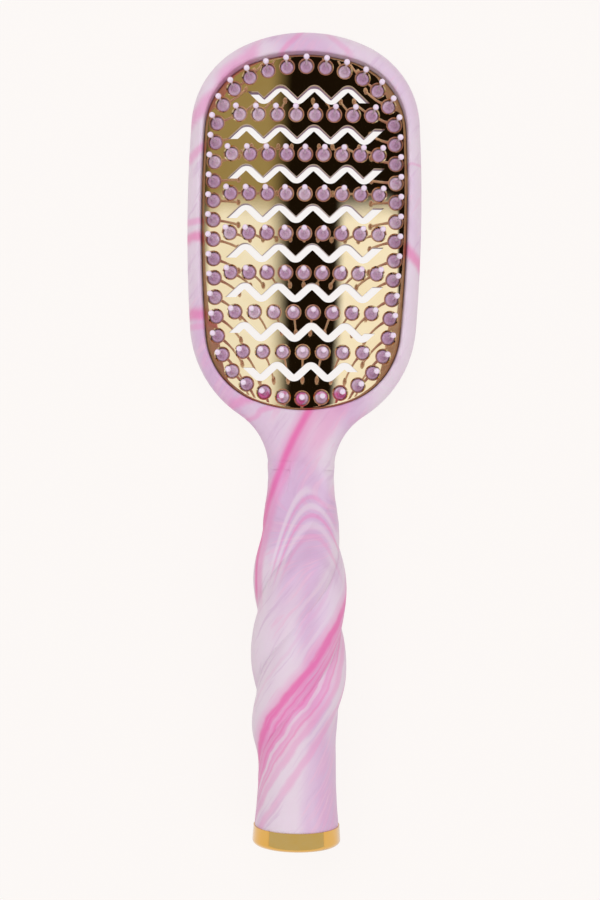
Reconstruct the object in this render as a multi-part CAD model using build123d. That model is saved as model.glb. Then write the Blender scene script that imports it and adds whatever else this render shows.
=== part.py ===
from build123d import *
from math import asin, atan2, cos, degrees, pi, radians, sin, sqrt
import os

from scipy.interpolate import PchipInterpolator

# Vented paddle brush, lying on its back: +Z is the way the pins point, +Y runs
# from the handle to the head. The origin is under the middle of the brush, on
# the plane that the back of the head lies on. Sizes are in millimetres.

# Head moulding
HEAD_TOP = 118.3            # far end of the head
HEAD_DEPTH = 13.5           # back of the head to the front of the rim
HEAD_EDGE = 5.0             # rounding of the outer edges, front and back
RIM_LIP = 0.7               # rounding of the rim where the recess opens
FLOOR = 3.0                 # thickness of the floor behind the pin pad
# Head outline from the top centre: (radius, heading at the end of the arc);
# heading 0 runs sideways, 90 runs towards the handle, a minus radius is hollow.
HEAD_RUNS = [(43.0, 25.1), (26.7, 86.6), (463.0, 94.1), (32.9, 147.1), (-18.9, 90.0)]

# Ring of pins round the edge; the recess and the plate run parallel to it
RING_TOP = 108.4
RING_RUNS = [(44.8, 17.2), (18.5, 86.9), (417.5, 95.2), (19.1, 159.8)]
RING_PINS = 46
RECESS_MARGIN = 3.5         # ring of pins to the wall of the recess
FIT = 0.15                  # side clearance of the pad and the plate

# Rows of pins and the vents between them
ROW_PITCH = 11.62
ROW_TOP = 94.2
ROWS = [(8, 19.45), (9, 21.65), (9, 21.9), (9, 21.9), (9, 21.5), (8, 20.1), (7, 17.65)]
# Tips of the vents, left and right
VENT_SPANS = [(-17.3, 18.8)] + 5 * [(-23.0, 23.4)] + [(-21.8, 21.2), (-17.5, 16.3)]
VENT_PERIOD = 9.9
VENT_SWING = 2.35           # centre line of a vent either side of its mean
PLATE_VENT = 2.15           # width of a vent through the plate
PAD_VENT = 2.9              # width of the same vent through the pad
FLOOR_VENT = 4.2            # and through the floor, where it opens to the back
VENT_OUTER = 2.6            # rounding of a plate vent outside and inside its bends
VENT_INNER = 0.3

# Face plate
CROWN_RADIUS = 360.0        # curve of the plate across the brush
CROWN_TOP = 9.6             # height of the plate along its middle
PLATE_WALL = 1.6
SKIRT_WALL = 1.4
SKIRT_FOOT = 6.0            # where the skirt stands on the pad
PLATE_EDGE = 0.8
PLATE_HOLE = 4.0
HOLE_LIP = 0.35
HOLE_TURN = 37.0            # seam of a hole, turned off the plate's own lines
PAD_GAP = 0.1               # pad to the underside of the plate

# Snap tabs that hold the plate in the head
TAB_SPOTS = [0.0, 0.2, 0.34, 0.5, 0.66, 0.8]
TAB_LENGTH = 6.0
TAB_REACH = 0.5
TAB_HEIGHT = 1.0
TAB_FOOT = 6.5
TAB_PLAY = 0.1

# Pins
PIN_SHANK = 1.8
PIN_SHANK_LENGTH = 2.6
PIN_HOLE_PLAY = 0.05
PIN_FLANGE = 3.7
FLANGE_HEIGHT = 0.8
PIN_STALK = 0.7
PIN_FLARE_HEIGHT = 4.6
PIN_BALL = 1.7
PIN_HEIGHT = 13.0           # seat of the flange to the middle of the ball

# Handle
GRIP_AXIS = 14.3            # height of the middle of the grip
NECK_SEAM = -7.5            # where the handle sections start
NECK_PROUD = 0.05
GRIP_START = -42.0          # neck fully turned into the round grip
HANDLE_END = -112.9
SECTION_STEP = 5.0
# Radius in the valleys of the twist, (position along Y, radius)
CORE_STATIONS = [
    (-7.5, 9.79), (-10.2, 9.62), (-15.0, 9.75), (-25.0, 10.6),
    (-45.0, 11.35), (-65.0, 11.6), (-88.0, 11.1), (-100.0, 11.3), (-112.9, 12.15),
]
LOBES = 4
LOBE_RISE = 2.3
LOBE_PITCH = 23.3           # along the handle from one valley to the next
LOBE_PHASE = -53.4
LOBE_LEAN = 0.22
TWIST_START = -15.0         # no twist between here and the head
LOBE_FADE_IN = (-8.0, -42.0)
LOBE_FADE_OUT = (-78.0, -93.0)
FADE_LEAN = -0.46
EDGE_POINTS = 9

# Hollow of the handle, the spigot and the end cap
BORE_MOUTH = 18.0
BORE_HEAD = 14.0
BORE_TOP = -44.0
SPIGOT = 22.4
SPIGOT_LENGTH = 3.4
CAP_END = -118.3
CAP_RIM = 24.9
CAP_FOOT = 25.7
CAP_FLOOR = 1.8
CAP_ROUND = 1.2
CAP_PLAY = 0.1
PLUG_LENGTH = 9.0
PLUG_WALL = 1.2
RIBS = 6
RIB_WIDTH = 1.0
RIB_HEIGHT = 0.3


def half_outline(top, runs):
    """Edges of the right half of an outline, and the point where they stop."""
    edges = []
    x, y, heading = 0.0, top, 0.0
    for radius, end_degrees in runs:
        end = radians(end_degrees)
        centre_x = x - radius * sin(heading)
        centre_y = y - radius * cos(heading)
        middle = (heading + end) / 2
        through = (centre_x + radius * sin(middle), centre_y + radius * cos(middle))
        stop = (centre_x + radius * sin(end), centre_y + radius * cos(end))
        edges.append(ThreePointArc((x, y), through, stop))
        x, y = stop
        heading = end
    return edges, (x, y)


def head_face():
    """Outline of the head, cut square across the neck."""
    right, (neck, stop) = half_outline(HEAD_TOP, HEAD_RUNS)
    left = [mirror(edge, about=Plane.YZ) for edge in right]
    end = Line((neck, stop), (-neck, stop))
    return make_face(right + left + [end])


def ring_face(margin):
    """Face inside a line parallel to the ring of pins, margin outside it."""
    runs = [(radius + margin, heading) for radius, heading in RING_RUNS]
    right, (x, y) = half_outline(RING_TOP + margin, runs)
    last = pi - radians(RING_RUNS[-1][1])
    radius = x / sin(last)
    bottom = (0.0, y - radius + radius * cos(last))
    through = (radius * sin(last / 2), bottom[1] + radius * (1 - cos(last / 2)))
    right.append(ThreePointArc((x, y), through, bottom))
    left = [mirror(edge, about=Plane.YZ) for edge in right]
    return make_face(right + left)


def ring_wire(margin):
    """The same line as a closed wire."""
    return ring_face(margin).face().outer_wire()


def crown(radius):
    """Long cylinder along Y whose top is the crowned surface of that radius."""
    middle = CROWN_TOP - CROWN_RADIUS
    return Pos(0, 60, middle) * Rot(90, 0, 0) * Cylinder(radius, 160)


def block(face, bottom, top):
    """Straight block over a face, between two heights."""
    return Pos(0, 0, bottom) * extrude(face, top - bottom)


def vent_end(turn, height, tip, width):
    """Upper and lower corner of the level cut past the last turn of a vent."""
    side = 1 if height > 0 else -1
    slope = 4 * VENT_SWING / VENT_PERIOD * side * (1 if tip < turn else -1)
    stretch = sqrt(1 + slope * slope)
    cut = height + slope * (tip - turn) + side * (PLATE_VENT * stretch - width + PLATE_VENT) / 2
    rise = width * stretch / 2
    return [(turn + (cut - height - shift) / slope, cut) for shift in (rise, -rise)]


def vent_face(index, width):
    """One zigzag vent with rounded bends and both ends cut level."""
    low, high = VENT_SPANS[index]
    mean = ROW_TOP + ROW_PITCH / 2 - index * ROW_PITCH
    half = VENT_PERIOD / 2
    rise = width / 2 * sqrt(1 + (2 * VENT_SWING / half) ** 2)
    steps = [n for n in range(-8, 8) if low + 2 < (n + 0.5) * half < high - 2]
    turns = [((n + 0.5) * half, VENT_SWING if n % 2 == 0 else -VENT_SWING) for n in steps]
    left = vent_end(*turns[0], low, width)
    right = vent_end(*turns[-1], high, width)
    upper = [left[0]] + [(x, y + rise) for x, y in turns] + [right[0]]
    lower = [right[1]] + [(x, y - rise) for x, y in reversed(turns)] + [left[1]]
    face = Pos(0, mean) * make_face(Polyline(*upper, *lower, close=True))
    extra = (width - PLATE_VENT) / 2
    for radius, height in ((VENT_INNER, VENT_SWING - rise), (VENT_OUTER + extra, VENT_SWING + rise)):
        bends = [v for v in face.vertices() if abs(abs(v.Y - mean) - abs(height)) < 0.001]
        bends = [v for v in bends if any(abs(v.X - x) < 0.001 for x, y in turns)]
        face = fillet(bends, radius)
    return face


def vents(width, bottom, top):
    """Cutters for all the vents, between two heights."""
    return [block(vent_face(k, width), bottom, top) for k in range(len(VENT_SPANS))]


def row_spots(index):
    """Centres of the pins of one row."""
    count, span = ROWS[index]
    y = ROW_TOP - index * ROW_PITCH
    step = 2 * span / (count - 1)
    return [(-span + k * step, y) for k in range(count)]


def ring_spots():
    """Centres of the pins of the ring, clockwise from the top middle."""
    wire = ring_wire(0)
    points = [wire.position_at(k / RING_PINS) for k in range(RING_PINS)]
    spots = [(point.X, point.Y) for point in points]
    first = max(range(RING_PINS), key=lambda k: spots[k][1])
    spots = spots[first:] + spots[:first]
    if spots[1][0] < 0:
        spots = spots[:1] + spots[:0:-1]
    return spots


def pin_groups():
    """Pins by node: the seven rows and the four sides of the ring."""
    ring = ring_spots()
    side = RING_PINS // 2
    groups = {f"pins_row_{k + 1}": row_spots(k) for k in range(len(ROWS))}
    groups["pins_ring_top"] = ring[-5:] + ring[:6]
    groups["pins_ring_right"] = ring[6:side - 5]
    groups["pins_ring_bottom"] = ring[side - 5:side + 6]
    groups["pins_ring_left"] = ring[side + 6:-5]
    return groups


def pin_seat(spot):
    """Place where a pin stands on the pad, square to the crown."""
    x, y = spot
    lean = asin(x / CROWN_RADIUS)
    radius = CROWN_RADIUS - PLATE_WALL - PAD_GAP
    z = CROWN_TOP - CROWN_RADIUS + radius * cos(lean)
    return Pos(radius * sin(lean), y, z) * Rot(0, degrees(lean), 0)


def tabs(reach, play):
    """Snap tabs round the plate or, with some play, the pockets they click into."""
    wire = ring_wire(RECESS_MARGIN)
    bars = []
    for spot in TAB_SPOTS:
        middle = wire.position_at(spot)
        along = wire.tangent_at(spot)
        turn = degrees(atan2(along.Y, along.X))
        bar = Box(TAB_LENGTH + 2 * play, 2 * reach, TAB_HEIGHT + 2 * play)
        z = TAB_FOOT + TAB_HEIGHT / 2
        bars.append(Pos(middle.X, middle.Y, z) * Rot(0, 0, turn) * bar)
    return bars


def turned(corners):
    """Solid turned about the middle of the grip from (radius, y) corners."""
    profile = make_face(Polyline(*corners, close=True))
    return Pos(0, 0, GRIP_AXIS) * revolve(profile, Axis.Y)


def ease(value, start, end):
    """Smooth step from 0 at start to 1 at end."""
    t = min(max((value - start) / (end - start), 0.0), 1.0)
    return t * t * (3 - 2 * t)


def slab_radius(half_width, angle):
    """Distance from the middle of the head moulding to its rounded edge."""
    across = abs(cos(angle))
    up = abs(sin(angle))
    half_depth = HEAD_DEPTH / 2 + NECK_PROUD
    flat_x = half_width - HEAD_EDGE
    flat_z = half_depth - HEAD_EDGE
    if half_width * up <= flat_z * across:
        return half_width / across
    if half_depth * across <= flat_x * up:
        return half_depth / up
    reach = flat_x * across + flat_z * up
    return reach + sqrt(reach * reach + HEAD_EDGE ** 2 - flat_x ** 2 - flat_z ** 2)


def valley_angle(lobe, y, core):
    """Angle of one valley of the twist in the section at y."""
    angle = lobe * 2 * pi / LOBES
    for _ in range(20):
        travel = LOBE_PHASE - min(y, TWIST_START) - LOBE_LEAN * core * cos(angle)
        angle = (lobe + travel / LOBE_PITCH) * 2 * pi / LOBES
    return angle


def grip_point(y, core, start, end, part):
    """Point on the neck or grip, part of the way from one valley to the next."""
    angle = start + (end - start) * part
    turned_in = ease(y, NECK_SEAM, GRIP_START)
    middle = HEAD_DEPTH / 2 + (GRIP_AXIS - HEAD_DEPTH / 2) * turned_in
    fade = y + FADE_LEAN * core * cos(angle)
    rise = LOBE_RISE * ease(y, *LOBE_FADE_IN) * (1 - ease(fade, *LOBE_FADE_OUT))
    round_radius = core + rise * sin(pi * part)
    radius = round_radius * turned_in + slab_radius(core, angle) * (1 - turned_in)
    return Vector(radius * cos(angle), y, middle + radius * sin(angle))


def grip_section(y, core_radius):
    """Closed section of the neck and grip at y: one curve for each lobe."""
    core = float(core_radius(y))
    valleys = [valley_angle(lobe, y, core) for lobe in range(LOBES)]
    valleys.append(valleys[0] + 2 * pi)
    curves = []
    for start, end in zip(valleys, valleys[1:]):
        parts = [k / (EDGE_POINTS - 1) for k in range(EDGE_POINTS)]
        points = [grip_point(y, core, start, end, part) for part in parts]
        leave = grip_point(y, core, start, end, 0.001) - points[0]
        arrive = points[-1] - grip_point(y, core, start, end, 0.999)
        curves.append((points, (leave, arrive)))
    for (before, _), (after, _) in zip(curves, curves[1:] + curves[:1]):
        after[0] = before[-1]
    return Wire([Spline(*points, tangents=ends) for points, ends in curves])


def grip():
    """Neck and twisted grip."""
    stations, radii = zip(*reversed(CORE_STATIONS))
    core_radius = PchipInterpolator(stations, radii)
    count = round((NECK_SEAM - HANDLE_END) / SECTION_STEP)
    step = (NECK_SEAM - HANDLE_END) / count
    sections = [grip_section(NECK_SEAM - k * step, core_radius) for k in range(count + 1)]
    return Solid.make_loft(sections)


def handle_body():
    """One moulding: rim, floor of the head, neck and hollow grip."""
    outline = head_face()
    neck_end = outline.bounding_box().min.Y
    head = block(outline, 0, HEAD_DEPTH)
    edges = [edge for edge in head.edges() if edge.center().Y > neck_end + 0.1]
    edges = [edge for edge in edges if edge.bounding_box().size.Z < 0.1]
    head = fillet(edges, HEAD_EDGE)
    opening = ring_face(RECESS_MARGIN)
    head -= block(opening, FLOOR, HEAD_DEPTH + 1)
    lip = [edge for edge in head.edges() if edge.center().Z > HEAD_DEPTH / 2 and on_wall(edge)]
    head = fillet(lip, RIM_LIP)
    body = head + grip()
    spigot_end = HANDLE_END - SPIGOT_LENGTH
    bore_mouth = BORE_MOUTH / 2
    bore_head = BORE_HEAD / 2
    body += turned([
        (0, HANDLE_END + 1), (SPIGOT / 2, HANDLE_END + 1), (SPIGOT / 2, spigot_end), (0, spigot_end),
    ])
    body -= turned([
        (0, BORE_TOP), (bore_head - 1, BORE_TOP), (bore_head, BORE_TOP - 1),
        (bore_mouth, HANDLE_END), (bore_mouth, spigot_end - 1), (0, spigot_end - 1),
    ])
    body -= vents(FLOOR_VENT, -1, FLOOR + 1)
    body -= tabs(TAB_REACH + TAB_PLAY, TAB_PLAY)
    return body


def on_wall(edge):
    """True for an edge that lies along the wall of the recess."""
    wall = ring_wire(RECESS_MARGIN)
    middle = edge.position_at(0.5)
    return wall.distance_to(Vector(middle.X, middle.Y, 0)) < 0.01


def pin_pad():
    """Pad that carries the pins: a flat ledge for the plate and a crowned field."""
    outer = ring_face(RECESS_MARGIN - FIT)
    inner = ring_face(RECESS_MARGIN - 2 * FIT - SKIRT_WALL)
    field = block(inner, FLOOR, CROWN_TOP) & crown(CROWN_RADIUS - PLATE_WALL - PAD_GAP)
    pad = block(outer, FLOOR, SKIRT_FOOT) + field
    pad -= vents(PAD_VENT, 0, HEAD_DEPTH)
    hole = Cylinder(PIN_SHANK / 2 + PIN_HOLE_PLAY, 2 * PIN_SHANK_LENGTH + 0.2)
    spots = [spot for group in pin_groups().values() for spot in group]
    pad -= [pin_seat(spot) * hole for spot in spots]
    return pad


def face_plate():
    """Plated cover: crowned shell with a skirt, vents, pin holes and snap tabs."""
    outer = ring_face(RECESS_MARGIN - FIT)
    inner = ring_face(RECESS_MARGIN - FIT - SKIRT_WALL)
    plate = block(outer, SKIRT_FOOT, CROWN_TOP + 1) & crown(CROWN_RADIUS)
    rim = [edge for edge in plate.edges() if edge.bounding_box().min.Z > SKIRT_FOOT + 1]
    rim = [edge for edge in rim if edge.bounding_box().size.Z < 2]
    plate = fillet(rim, PLATE_EDGE)
    hollow = block(inner, SKIRT_FOOT - 1, CROWN_TOP) & crown(CROWN_RADIUS - PLATE_WALL)
    plate -= hollow
    reach = [tab & block(ring_face(RECESS_MARGIN + 2), 0, 20) for tab in tabs(TAB_REACH, 0)]
    plate += [tab - block(inner, 0, 20) for tab in reach]
    plate -= vents(PLATE_VENT, 0, HEAD_DEPTH)
    cutter = Pos(0, 0, PLATE_WALL + PAD_GAP) * hole_cutter()
    for spots in pin_groups().values():
        plate -= [pin_seat(spot) * cutter for spot in spots]
    return plate


def hole_cutter():
    """Cutter for one countersunk hole of the plate; the surface is at 0."""
    wall = PLATE_HOLE / 2
    below = 2 * PLATE_WALL
    profile = Polyline(
        (0, 1), (0, -below), (wall, -below), (wall, -HOLE_LIP), (wall + HOLE_LIP + 1, 1), close=True,
    )
    return Rot(0, 0, HOLE_TURN) * revolve(Plane.XZ * make_face(profile), Axis.Z)


def pin():
    """One pin, standing on the origin: shank below, flange, flare, stalk and ball."""
    shank = PIN_SHANK / 2
    flange = PIN_FLANGE / 2
    stalk = PIN_STALK / 2
    ball = PIN_BALL / 2
    neck = PIN_HEIGHT - sqrt(ball * ball - stalk * stalk)
    flare = Spline(
        (flange - 0.15, FLANGE_HEIGHT), (stalk + 0.45, FLANGE_HEIGHT + 0.75), (stalk + 0.08, PIN_FLARE_HEIGHT),
        (stalk, PIN_FLARE_HEIGHT + 2.4),
        tangents=((-1, 0.1), (0, 1)),
    )
    low = Polyline(
        (0, -PIN_SHANK_LENGTH), (shank, -PIN_SHANK_LENGTH), (shank, 0), (flange, 0),
        (flange, FLANGE_HEIGHT - 0.15), (flange - 0.15, FLANGE_HEIGHT),
    )
    stem = Line((stalk, PIN_FLARE_HEIGHT + 2.4), (stalk, neck))
    tip = ThreePointArc((stalk, neck), (ball, PIN_HEIGHT), (0, PIN_HEIGHT + ball))
    close = Line((0, PIN_HEIGHT + ball), (0, -PIN_SHANK_LENGTH))
    profile = make_face(low.edges() + [flare, stem, tip, close])
    return revolve(Plane.XZ * profile, Axis.Z)


def end_cap():
    """Plated cap: flared cup over the spigot, with a ribbed plug in the bore."""
    socket = SPIGOT / 2 + CAP_PLAY
    socket_end = HANDLE_END - SPIGOT_LENGTH - CAP_PLAY
    plug = BORE_MOUTH / 2 - CAP_PLAY - RIB_HEIGHT
    floor = CAP_END + CAP_FLOOR
    plug_end = floor + PLUG_LENGTH
    cap = turned([
        (0, CAP_END), (CAP_FOOT / 2, CAP_END), (CAP_RIM / 2, HANDLE_END), (socket, HANDLE_END),
        (socket, socket_end), (plug, socket_end), (plug, plug_end),
        (plug - PLUG_WALL, plug_end), (plug - PLUG_WALL, floor), (0, floor),
    ])
    foot = [edge for edge in cap.edges() if edge.center().Y < CAP_END + 0.1]
    cap = fillet([edge for edge in foot if edge.length > CAP_RIM], CAP_ROUND)
    length = plug_end - socket_end
    rib = Pos(plug - 0.5, socket_end + length / 2, 0) * Box(1 + 2 * RIB_HEIGHT, length, RIB_WIDTH)
    turn = 360 / RIBS
    cap += [Pos(0, 0, GRIP_AXIS) * Rot(0, k * turn, 0) * rib for k in range(RIBS)]
    return cap


def write(node, shape):
    """Write one node."""
    export_step(shape, f"parts/{node}.step")


os.makedirs("parts", exist_ok=True)
write("handle_body", handle_body())
write("pin_pad", pin_pad())
write("face_plate", face_plate())
write("end_cap", end_cap())
for name, spots in pin_groups().items():
    write(name, Compound([pin_seat(spot) * pin() for spot in spots]))
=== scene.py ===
import math

import bpy
import numpy as np
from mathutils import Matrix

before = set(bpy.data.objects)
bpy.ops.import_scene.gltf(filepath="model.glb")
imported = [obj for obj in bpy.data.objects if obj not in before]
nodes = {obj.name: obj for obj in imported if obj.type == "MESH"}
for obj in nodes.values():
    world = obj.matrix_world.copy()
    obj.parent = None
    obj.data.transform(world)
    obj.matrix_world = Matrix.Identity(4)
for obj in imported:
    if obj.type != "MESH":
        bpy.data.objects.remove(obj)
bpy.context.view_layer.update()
mm = 0.001


# ---------------------------------------------------------------------------
# Body: one satin moulding in marbled plastic, lilac with white clouds and
# magenta veins. The melt was twisted as it flowed, so on the grip the veins
# run round with the lobes; on the head they drift along it in loose waves.
# ---------------------------------------------------------------------------

class Maths:
    """A shader value that can be added, multiplied and so on like a number."""

    def __init__(self, tree, socket):
        self.tree = tree
        self.socket = socket

    def _do(self, kind, *others):
        """The result of a Math node of that kind."""
        made = self.tree.nodes.new("ShaderNodeMath")
        made.operation = kind
        for place, value in enumerate((self,) + others):
            if isinstance(value, Maths):
                self.tree.links.new(value.socket, made.inputs[place])
            else:
                made.inputs[place].default_value = value
        return Maths(self.tree, made.outputs[0])

    def __add__(self, other):
        return self._do("ADD", other)

    def __radd__(self, other):
        return self._do("ADD", other)

    def __sub__(self, other):
        return self._do("SUBTRACT", other)

    def __rsub__(self, other):
        return self._do("MULTIPLY", -1.0)._do("ADD", other)

    def __mul__(self, other):
        return self._do("MULTIPLY", other)

    def __rmul__(self, other):
        return self._do("MULTIPLY", other)

    def __truediv__(self, other):
        return self._do("DIVIDE", other)

    def __abs__(self):
        return self._do("ABSOLUTE")

    def sine(self):
        return self._do("SINE")

    def cosine(self):
        return self._do("COSINE")

    def angle(self, other):
        """Angle whose sine goes with this value and cosine with the other."""
        return self._do("ARCTAN2", other)

    def most(self, other):
        """The greater of the value and another."""
        return self._do("MAXIMUM", other)

    def capped(self, limit, soft):
        """The value up to a limit, with a soft corner there."""
        return self._do("SMOOTH_MIN", limit, soft)

    def band(self, low, high):
        """0 below low, 1 above high, smooth between."""
        made = self.tree.nodes.new("ShaderNodeMapRange")
        made.interpolation_type = "SMOOTHSTEP"
        self.tree.links.new(self.socket, made.inputs["Value"])
        made.inputs["From Min"].default_value = low
        made.inputs["From Max"].default_value = high
        return Maths(self.tree, made.outputs["Result"])


class Shader:
    """A node material with one Principled surface and short ways to add to it."""

    def __init__(self, name):
        self.material = bpy.data.materials.new(name)
        self.material.use_nodes = True
        self.tree = self.material.node_tree
        self.surface = self.tree.nodes["Principled BSDF"]
        self.place = self.node("ShaderNodeTexCoord").outputs["Object"]

    def node(self, kind, settings=None, **inputs):
        """A node of that type, with settings set and its inputs set or linked."""
        made = self.tree.nodes.new(kind)
        for key, value in (settings or {}).items():
            setattr(made, key, value)
        for key, value in inputs.items():
            self.feed(made.inputs[key.replace("_", " ")], value)
        return made

    def feed(self, socket, value):
        """Sets a socket to a constant, or links a value to it."""
        if isinstance(value, Maths):
            value = value.socket
        if isinstance(value, bpy.types.NodeSocket):
            self.tree.links.new(value, socket)
        else:
            socket.default_value = value

    def set(self, **inputs):
        """Feeds inputs of the surface."""
        for key, value in inputs.items():
            self.feed(self.surface.inputs[key.replace("_", " ")], value)

    def axes(self):
        """The three object coordinates, in metres."""
        split = self.node("ShaderNodeSeparateXYZ", Vector=self.place)
        return [Maths(self.tree, split.outputs[k]) for k in range(3)]

    def point(self, x, y, z):
        """A vector made of three values."""
        return self.node("ShaderNodeCombineXYZ", X=x, Y=y, Z=z).outputs[0]

    def noise(self, vector, scale, detail=3.0, roughness=0.5, distortion=0.0):
        """Smooth noise about 0.5."""
        made = self.node(
            "ShaderNodeTexNoise", Vector=vector, Scale=scale, Detail=detail,
            Roughness=roughness, Distortion=distortion,
        )
        return Maths(self.tree, made.outputs["Fac"])

    def blend(self, factor, first, second):
        """Colour between two colours."""
        made = self.node("ShaderNodeMix", {"data_type": "RGBA"})
        self.feed(made.inputs[0], factor)
        self.feed(made.inputs[6], first)
        self.feed(made.inputs[7], second)
        return made.outputs[2]

    def bump(self, height, distance, strength=1.0):
        """Normal from a height."""
        made = self.node("ShaderNodeBump", Strength=strength, Distance=distance)
        self.feed(made.inputs["Height"], height)
        return made.outputs["Normal"]


LILAC = (0.640, 0.435, 0.620, 1)
MAUVE = (0.560, 0.355, 0.540, 1)
WHITE = (0.725, 0.610, 0.700, 1)
PINK = (0.730, 0.270, 0.510, 1)
MAGENTA = (0.740, 0.110, 0.370, 1)
GRIP_AXIS = 14.3        # height of the middle of the grip, mm
MELT_PITCH = 17.0       # how far a stripe runs down the grip for each radian, mm
# Stripes round the grip: (place along it at the front, half width, colour, strength)
GRIP_STRIPES = [
    (-75.0, 8.5, PINK, 0.92), (-69.6, 1.6, MAGENTA, 0.70), (-73.5, 0.5, MAGENTA, 0.45),
    (-77.0, 0.6, MAGENTA, 0.40), (-79.6, 0.8, WHITE, 0.75), (-83.0, 0.5, MAGENTA, 0.35),
    (-86.5, 1.6, PINK, 0.50), (-90.0, 1.0, WHITE, 0.60), (-95.0, 2.0, PINK, 0.45),
    (-63.5, 0.9, WHITE, 0.50), (-57.0, 0.8, PINK, 0.16), (-50.0, 1.2, WHITE, 0.45),
]
# Arched loops at the front of the neck: (top of the arch, half width, colour, strength)
ARCHES = [
    (-15.0, 1.3, WHITE, 0.75), (-17.6, 0.6, PINK, 0.45), (-20.2, 0.9, WHITE, 0.70),
    (-22.8, 0.6, PINK, 0.60), (-25.4, 1.0, WHITE, 0.60), (-28.4, 0.8, PINK, 0.35),
    (-33.0, 1.6, MAUVE, 0.30),
]
# Short streaks across the rim of the head: (x, y, slope, half width, reach, colour, strength)
RIM_STREAKS = [
    (-31.5, 57.5, 0.25, 1.6, 6.0, MAGENTA, 0.60), (-31.5, 62.5, 0.25, 1.0, 6.0, PINK, 0.60),
    (-31.5, 35.0, 0.10, 1.8, 6.0, MAGENTA, 0.60), (-31.5, 31.0, 0.15, 1.0, 6.0, PINK, 0.50),
    (-31.0, 84.0, 0.90, 1.4, 7.0, PINK, 0.60), (-27.5, 98.0, 1.00, 2.8, 9.0, PINK, 0.65),
    (-20.0, 108.0, 0.80, 2.6, 8.0, PINK, 0.60), (-4.0, 115.0, 1.10, 1.2, 6.0, PINK, 0.60),
    (9.0, 114.0, -0.90, 1.2, 6.0, PINK, 0.35), (33.0, 51.5, -1.20, 2.2, 5.0, MAGENTA, 0.60),
    (31.5, 79.5, 0.02, 0.4, 6.0, PINK, 0.40), (-16.0, 9.5, 0.30, 1.5, 9.0, PINK, 0.70),
    (-12.0, 5.5, 0.55, 0.9, 8.0, PINK, 0.55), (-20.0, 15.0, -0.50, 0.8, 6.0, PINK, 0.35),
]


def marble(shader, strength=1.0):
    """Marbled colour: clouds and veins in coordinates that follow the melt."""
    x, y, z = (value * 1000 for value in shader.axes())
    turn = (x * -1).angle(z - GRIP_AXIS)
    bend = shader.noise(shader.place, 34, 2.0, 0.5) - 0.5
    ripple = shader.noise(shader.place, 150, 2.0, 0.5) - 0.5
    grip = 1 - y.band(-40.0, -14.0)
    melt = y + turn * MELT_PITCH * grip + bend * 7
    across = turn.sine() * 12 * grip + (x * 0.85 + y * 0.30) * (1 - grip)
    up = turn.cosine() * 12 * grip + z * (1 - grip)
    flow = shader.point(across * 0.001, y * 0.0003, up * 0.001)
    lane = melt * grip + (x * 0.95 - y * 0.65) * (1 - grip)
    lines = shader.point((lane + ripple * 2) * 0.0016, across * 0.0003, up * 0.0003)
    drift = shader.noise(flow, 42, 2.0, 0.5, 0.4)
    fine = shader.noise(lines, 300, 3.0, 0.55, 0.3)
    colour = shader.blend(drift.band(0.36, 0.60), LILAC, WHITE)
    colour = shader.blend(fine.band(0.50, 0.66) * 0.60, colour, WHITE)
    colour = shader.blend((1 - fine).band(0.56, 0.72) * 0.40, colour, MAUVE)
    colour = shader.blend((drift * -1 + fine).band(0.06, 0.20) * 0.28, colour, PINK)

    front = turn.cosine().band(-0.55, 0.0) * grip
    for place, half, tint, share in GRIP_STRIPES:
        near = 1 - abs(melt + ripple * 3 - place).band(half * 0.4, half * 1.5)
        colour = shader.blend(near * front * (fine.band(0.30, 0.48) * 0.4 + 0.6) * share, colour, tint)

    arch = y + (x - 3.5) * (x - 3.5) * 0.17 + bend * 5
    window = y.band(-46.0, -34.0) * (1 - y.band(-17.0, -12.0)) * turn.cosine().band(0.0, 0.4)
    for top, half, tint, share in ARCHES:
        near = 1 - abs(arch - top).band(half * 0.4, half * 1.6)
        colour = shader.blend(near * window * share, colour, tint)

    # the long streak from the plate down the left of the neck
    path = y * 0.496 + y * y * 0.0056 - 1.0
    width = y.band(-45.0, 10.0) * 2.6 + 1.2
    near = 1 - (abs(x - path + bend * 3) / width).band(0.35, 1.3)
    core = 1 - (abs(x - path + bend * 3 + 0.8) / width).band(0.05, 0.55)
    window = y.band(-52.0, -44.0) * (1 - y.band(11.0, 13.0)) * z.band(1.0, 8.0)
    colour = shader.blend(near * window * 0.62, colour, PINK)
    colour = shader.blend(core * window * 0.75, colour, MAGENTA)
    edge = abs(x - path + bend * 3 - 6.5) / width
    colour = shader.blend((1 - edge.band(0.2, 1.4)) * window * y.band(-12.0, 0.0) * 0.5, colour, PINK)

    for x0, y0, slope, half, reach, tint, share in RIM_STREAKS:
        off = abs(y - y0 - (x - x0) * slope + bend * 6 + ripple * 3)
        near = (1 - off.band(half * 0.3, half * 1.7)) * (1 - abs(x - x0).band(reach * 0.5, reach))
        colour = shader.blend(near * share * strength, colour, tint)
    return colour


def body_material():
    """Satin marbled plastic with a faint moulded grain."""
    shader = Shader("marbled_satin")
    grain = shader.noise(shader.place, 2600, 2.0)
    swell = shader.noise(shader.place, 60, 2.0)
    shader.set(Base_Color=marble(shader))
    shader.set(Roughness=0.40 + swell * 0.10)
    shader.set(IOR=1.49)
    shader.set(Coat_Weight=0.12)
    shader.set(Coat_Roughness=0.25)
    shader.set(Subsurface_Weight=0.12)
    shader.set(Subsurface_Radius=(1.0, 0.6, 0.9))
    shader.set(Subsurface_Scale=0.0015)
    shader.set(Normal=shader.bump(grain + swell * 3, 0.00002, 0.5))
    return shader.material


def dress(name, material):
    """Gives a CAD node's object one material."""
    slots = nodes[name].data.materials
    slots.clear()
    slots.append(material)


dress("handle_body", body_material())


# ---------------------------------------------------------------------------
# Pin pad: softer marbled plastic behind the plate. It shows only as the walls
# of the vents and round the feet of the pins.
# ---------------------------------------------------------------------------

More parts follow.
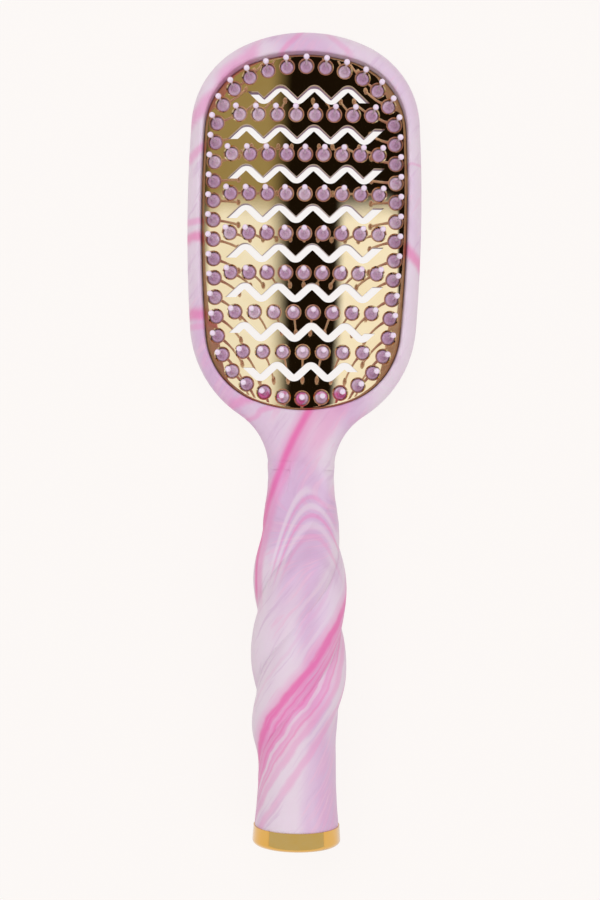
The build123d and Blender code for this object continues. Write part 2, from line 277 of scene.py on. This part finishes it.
def pad_material():
    """Marbled pad, a little deeper in colour and smoother than the body."""
    shader = Shader("marbled_pad")
    shader.set(Base_Color=marble(shader, 0.8))
    shader.set(Roughness=0.35 + shader.noise(shader.place, 90, 2.0) * 0.1)
    shader.set(Normal=shader.bump(shader.noise(shader.place, 1800, 2.0), 0.00002, 0.4))
    return shader.material


dress("pin_pad", pad_material())


# ---------------------------------------------------------------------------
# Face plate and end cap: moulded plastic, electroplated gold, mirror bright.
# The plating follows tiny waves in the moulding and has a light haze.
# ---------------------------------------------------------------------------

GOLD = (0.850, 0.610, 0.270, 1)
GOLD_DEEP = (0.800, 0.530, 0.190, 1)
GOLD_WARM = (0.820, 0.470, 0.100, 1)
HEAD_MIDDLE = 59 * mm
ACROSS = 1 / (2 * 75 * mm)      # swell of the plating, half of 1 / radius
ALONG = 1 / (2 * 140 * mm)
SWELL_REACH = 26.5 * mm         # past this the swell runs out towards the rim
SWELL_SOFT = 0.00018            # soft corner of that limit, square metres
PLATE_WAVE = 0.10 * mm          # height of the slow waves in the plating
CAP_WAVE = 0.12 * mm
CAP_LEAN = 0.42                 # slope that turns the cap's mirror along the brush


def gold_material(name, tint, wave, across=0.0, along=0.0, lean=0.0):
    """Mirror plating: gold tint, haze in patches, slow waves and a saddle swell.

    The swell is a height in metres: it falls with the square of the distance
    from the middle line and rises with the square of the distance from the
    middle of the head, so that the plate mirrors a wide sweep of the studio.
    A lean is a slope along the brush. All of it is bump: the mesh keeps its shape.
    """
    shader = Shader(name)
    x, y = shader.axes()[:2]
    haze = shader.noise(shader.place, 140, 3.0, 0.6)
    slow = shader.noise(shader.place, 28, 1.0, 0.4)
    dust = shader.noise(shader.place, 1500, 2.0, 0.5)
    head = y - HEAD_MIDDLE
    swell = head * head * along - (x * x).capped(SWELL_REACH ** 2, SWELL_SOFT) * across + y * lean
    shader.set(Base_Color=shader.blend(haze.band(0.3, 0.7) * 0.35, tint, GOLD_DEEP))
    shader.set(Metallic=1.0)
    shader.set(Roughness=0.030 + haze.band(0.4, 0.8) * 0.05)
    shader.set(Normal=shader.bump(swell + (slow * 3 + dust * 0.02) * wave, 1.0))
    return shader.material


dress("face_plate", gold_material("plated_plate", GOLD, PLATE_WAVE, ACROSS, ALONG))
dress("end_cap", gold_material("plated_cap", GOLD_WARM, CAP_WAVE, lean=CAP_LEAN))


# ---------------------------------------------------------------------------
# Pins: moulded nylon. The flared foot is glossy and carries the marbling of
# the batch; the thin stalk and the ball tip are pale.
# ---------------------------------------------------------------------------

PIN_DEEP = (0.620, 0.400, 0.600, 1)
PIN_LIGHT = (0.760, 0.590, 0.740, 1)
PIN_TIP = (0.800, 0.680, 0.810, 1)


def pin_material():
    """Glossy lilac foot, magenta in places at the handle end; pale stalk and tip."""
    shader = Shader("pin_nylon")
    y, z = shader.axes()[1:]
    high = (z * 1000).band(11.6, 14.0) * 0.75 + (z * 1000).band(17.0, 19.8) * 0.25
    patch = shader.noise(shader.place, 70, 2.0, 0.6, 0.8)
    tint = shader.blend(patch.band(0.45, 0.7), PIN_DEEP, PIN_LIGHT)
    low_end = 1 - (y * 1000).band(12.0, 14.0)
    hot = low_end * shader.noise(shader.place, 330, 1.0).band(0.44, 0.56)
    tint = shader.blend(hot * 0.85, tint, MAGENTA)
    shader.set(Base_Color=shader.blend(high, tint, PIN_TIP))
    shader.set(Roughness=0.16 + patch * 0.08)
    shader.set(Coat_Weight=0.5)
    shader.set(Coat_Roughness=0.06)
    shader.set(Subsurface_Weight=0.2)
    shader.set(Subsurface_Radius=(1.0, 0.6, 0.9))
    shader.set(Subsurface_Scale=0.0008)
    shader.set(Normal=shader.bump(shader.noise(shader.place, 900, 2.0), 0.00002, 0.3))
    return shader.material


pin_nylon = pin_material()
for name in nodes:
    if name.startswith("pins_"):
        dress(name, pin_nylon)


# ---------------------------------------------------------------------------
# Studio: pale paper floor, four soft lights, surroundings painted for the gold
# to mirror, and a camera looking straight down on the middle of the brush.
# ---------------------------------------------------------------------------

PAPER = (0.985, 0.950, 0.930, 1)
PAPER_UNDER = (0.80, 0.77, 0.75, 1)     # the paper as the lamps light it
PAPER_GLOW = 0.35                       # share of plain paper colour for any ray
PAPER_GLOW_SEEN = 0.58                  # and how much more of it the camera sees
PAPER_REACH = 3.0                       # half width of the floor, metres
PAPER_DROP = 0.2 * mm                   # floor below the back of the head


def paper_material():
    """Pale paper that shows its own colour to the camera and hardly any shadow."""
    material = bpy.data.materials.new("paper")
    material.use_nodes = True
    tree = material.node_tree
    tree.nodes.clear()
    out = tree.nodes.new("ShaderNodeOutputMaterial")
    glow = tree.nodes.new("ShaderNodeEmission")
    glow.inputs["Color"].default_value = PAPER
    matt = tree.nodes.new("ShaderNodeBsdfDiffuse")
    matt.inputs["Color"].default_value = PAPER_UNDER
    rays = tree.nodes.new("ShaderNodeLightPath")
    mix = tree.nodes.new("ShaderNodeMixShader")
    share = tree.nodes.new("ShaderNodeMath")
    share.operation = "MULTIPLY_ADD"
    share.inputs[1].default_value = PAPER_GLOW_SEEN
    share.inputs[2].default_value = PAPER_GLOW
    tree.links.new(rays.outputs["Is Camera Ray"], share.inputs[0])
    tree.links.new(share.outputs[0], mix.inputs[0])
    tree.links.new(matt.outputs[0], mix.inputs[1])
    tree.links.new(glow.outputs[0], mix.inputs[2])
    tree.links.new(mix.outputs[0], out.inputs["Surface"])
    return material


def soft_light(name, place, target, size, power):
    """White square area light aimed at a point, which no mirror shows."""
    data = bpy.data.lights.new(name, "AREA")
    data.size = size
    data.energy = power
    made = bpy.data.objects.new(name, data)
    made.location = place
    made.visible_glossy = False
    aim = np.array(target) - np.array(place)
    flat = math.hypot(aim[0], aim[1])
    made.rotation_euler = (math.atan2(flat, -aim[2]), 0, math.atan2(aim[1], aim[0]) - math.pi / 2)
    bpy.context.scene.collection.objects.link(made)


floor_mesh = bpy.data.meshes.new("paper_floor")
corners = [(-1, -1), (1, -1), (1, 1), (-1, 1)]
floor_mesh.from_pydata([(PAPER_REACH * x, PAPER_REACH * y, 0) for x, y in corners], [], [(0, 1, 2, 3)])
floor = bpy.data.objects.new("paper_floor", floor_mesh)
floor.location.z = -PAPER_DROP
floor_mesh.materials.append(paper_material())
bpy.context.scene.collection.objects.link(floor)

# Surroundings: colours over the sky's slopes east and north of straight up
SKY_EVEN = (0.60, 0.575, 0.575, 1)      # what lights the matt pieces
SKY_RIM = (0.60, 0.58, 0.57, 1)         # near the horizon
SKY_DARK = (0.010, 0.007, 0.005, 1)     # overhead
SKY_LEFT = (0.36, 0.34, 0.24, 1)        # dim box on the left
SKY_FAR_LEFT = (1.02, 1.22, 1.85, 1)    # bright boxes beyond the head
SKY_FAR_RIGHT = (1.08, 1.28, 1.95, 1)
SKY_NEAR = (0.62, 0.70, 0.90, 1)        # card beyond the end cap

world = bpy.data.worlds.new("studio")
bpy.context.scene.world = world
world.use_nodes = True
sky = world.node_tree


def sky_mix(factor, first, second):
    """Colour of the surroundings between two colours."""
    made = sky.nodes.new("ShaderNodeMix")
    made.data_type = "RGBA"
    sky.links.new(factor.socket, made.inputs[0])
    for socket, value in ((made.inputs[6], first), (made.inputs[7], second)):
        if isinstance(value, tuple):
            socket.default_value = value
        else:
            sky.links.new(value, socket)
    return made.outputs[2]


split = sky.nodes.new("ShaderNodeSeparateXYZ")
sky.links.new(sky.nodes.new("ShaderNodeTexCoord").outputs["Generated"], split.inputs[0])
east, north, height = (Maths(sky, split.outputs[k]) for k in range(3))
height = height.most(0.05)
east = east / height
north = north / height
left_box = 1 - east.band(-0.42, -0.14)
right_box = east.band(0.32, 0.46)
far_half = north.band(-0.02, 0.12)
near_end = (north * -1).band(0.85, 1.15)
high = height.band(0.25, 0.45)
colour = sky_mix(height.band(0.2, 0.5), SKY_RIM, SKY_DARK)
colour = sky_mix(left_box * high, colour, SKY_LEFT)
colour = sky_mix(left_box * far_half * high, colour, SKY_FAR_LEFT)
colour = sky_mix(right_box * far_half * high, colour, SKY_FAR_RIGHT)
colour = sky_mix(near_end, colour, SKY_NEAR)
rays = sky.nodes.new("ShaderNodeLightPath")
colour = sky_mix(Maths(sky, rays.outputs["Is Glossy Ray"]), SKY_EVEN, colour)
sky.links.new(colour, sky.nodes["Background"].inputs["Color"])
sky.nodes["Background"].inputs["Strength"].default_value = 1.0

soft_light("key", (-0.5, 0.3, 0.9), (0, 0, 0), 0.5, 2.6)
soft_light("fill", (0.6, -0.2, 0.8), (0, 0, 0), 0.6, 2.2)
soft_light("top", (0.0, 0.7, 0.8), (0, 0.05, 0), 0.5, 1.5)
soft_light("low", (0.0, -0.8, 0.7), (0, -0.05, 0), 0.5, 1.5)

SENSOR = 24.0           # height of the sensor, mm
FOCUS = 16 / 9          # focal length for each unit of that height

view = bpy.data.cameras.new("camera")
view.sensor_fit = "VERTICAL"
view.sensor_height = SENSOR
view.lens = SENSOR * FOCUS
camera = bpy.data.objects.new("camera", view)
camera.location = (-0.0004, -0.0043, 0.479)
camera.rotation_euler = (0, 0, math.radians(0.75))
bpy.context.scene.collection.objects.link(camera)
bpy.context.scene.camera = camera
bpy.context.scene.view_settings.view_transform = "Standard"
